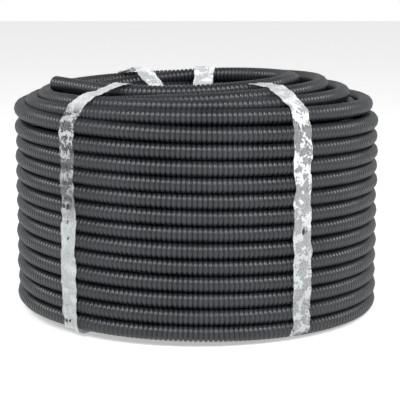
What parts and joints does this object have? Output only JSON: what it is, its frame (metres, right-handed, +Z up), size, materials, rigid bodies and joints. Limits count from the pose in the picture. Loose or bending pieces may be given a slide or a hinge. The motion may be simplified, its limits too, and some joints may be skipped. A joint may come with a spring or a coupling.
{
  "type": "corrugated conduit",
  "caption": "Roll of small black corrugated plastic conduit lying flat, its open end loose on top, tied with clear film straps through the eye.",
  "frame": {"origin": "on the floor under the roll, on the axis of its eye", "axes": "+Z up along the roll's axis; -Y is the side that is seen from the front; the free end points towards -X"},
  "size_m": [0.2378, 0.2386, 0.1527],
  "materials": {
    "conduit": "satin black extruded plastic, ribbed",
    "film": "clear glossy packing film, crumpled"
  },
  "bodies": {
    "root": {"conduit_coil": "conduit", "conduit_free_end": "conduit", "strap_front_left": "film", "strap_front_right": "film", "strap_back": "film", "strap_back_left": "film"}
  },
  "joints": []
}
